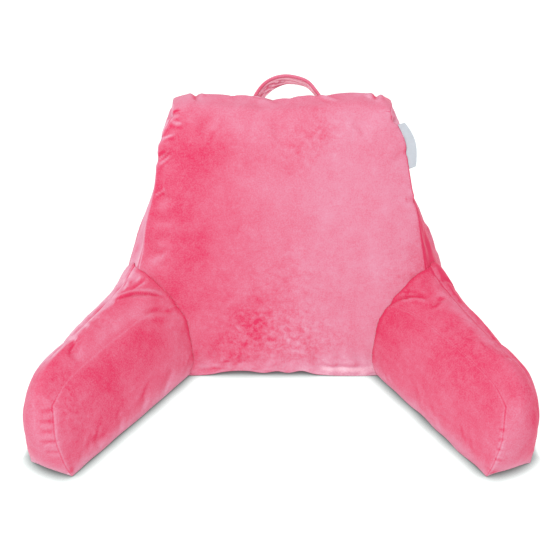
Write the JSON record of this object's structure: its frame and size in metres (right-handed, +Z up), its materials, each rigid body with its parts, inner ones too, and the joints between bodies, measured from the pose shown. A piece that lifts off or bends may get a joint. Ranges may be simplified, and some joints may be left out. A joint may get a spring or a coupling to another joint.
{
  "type": "reading pillow with arms",
  "caption": "Filled wedge-shaped backrest pillow with splayed arm bolsters, a carry handle on its top and a blank tag on its side seam, in pink velvet.",
  "frame": {"origin": "on the surface that the pillow stands on, under the middle of its whole footprint", "axes": "+X from one arm to the other, to the right of someone who faces the front panel; +Y towards the back; +Z up"},
  "size_m": [0.7865, 0.5132, 0.4388],
  "materials": {
    "velvet": "short pile velvet, matt with a soft sheen at its edges",
    "label": "smooth woven ribbon, blank"
  },
  "bodies": {
    "root": {"backrest": "velvet", "arm_left": "velvet", "arm_right": "velvet", "handle": "velvet", "tag": "label"}
  },
  "joints": []
}
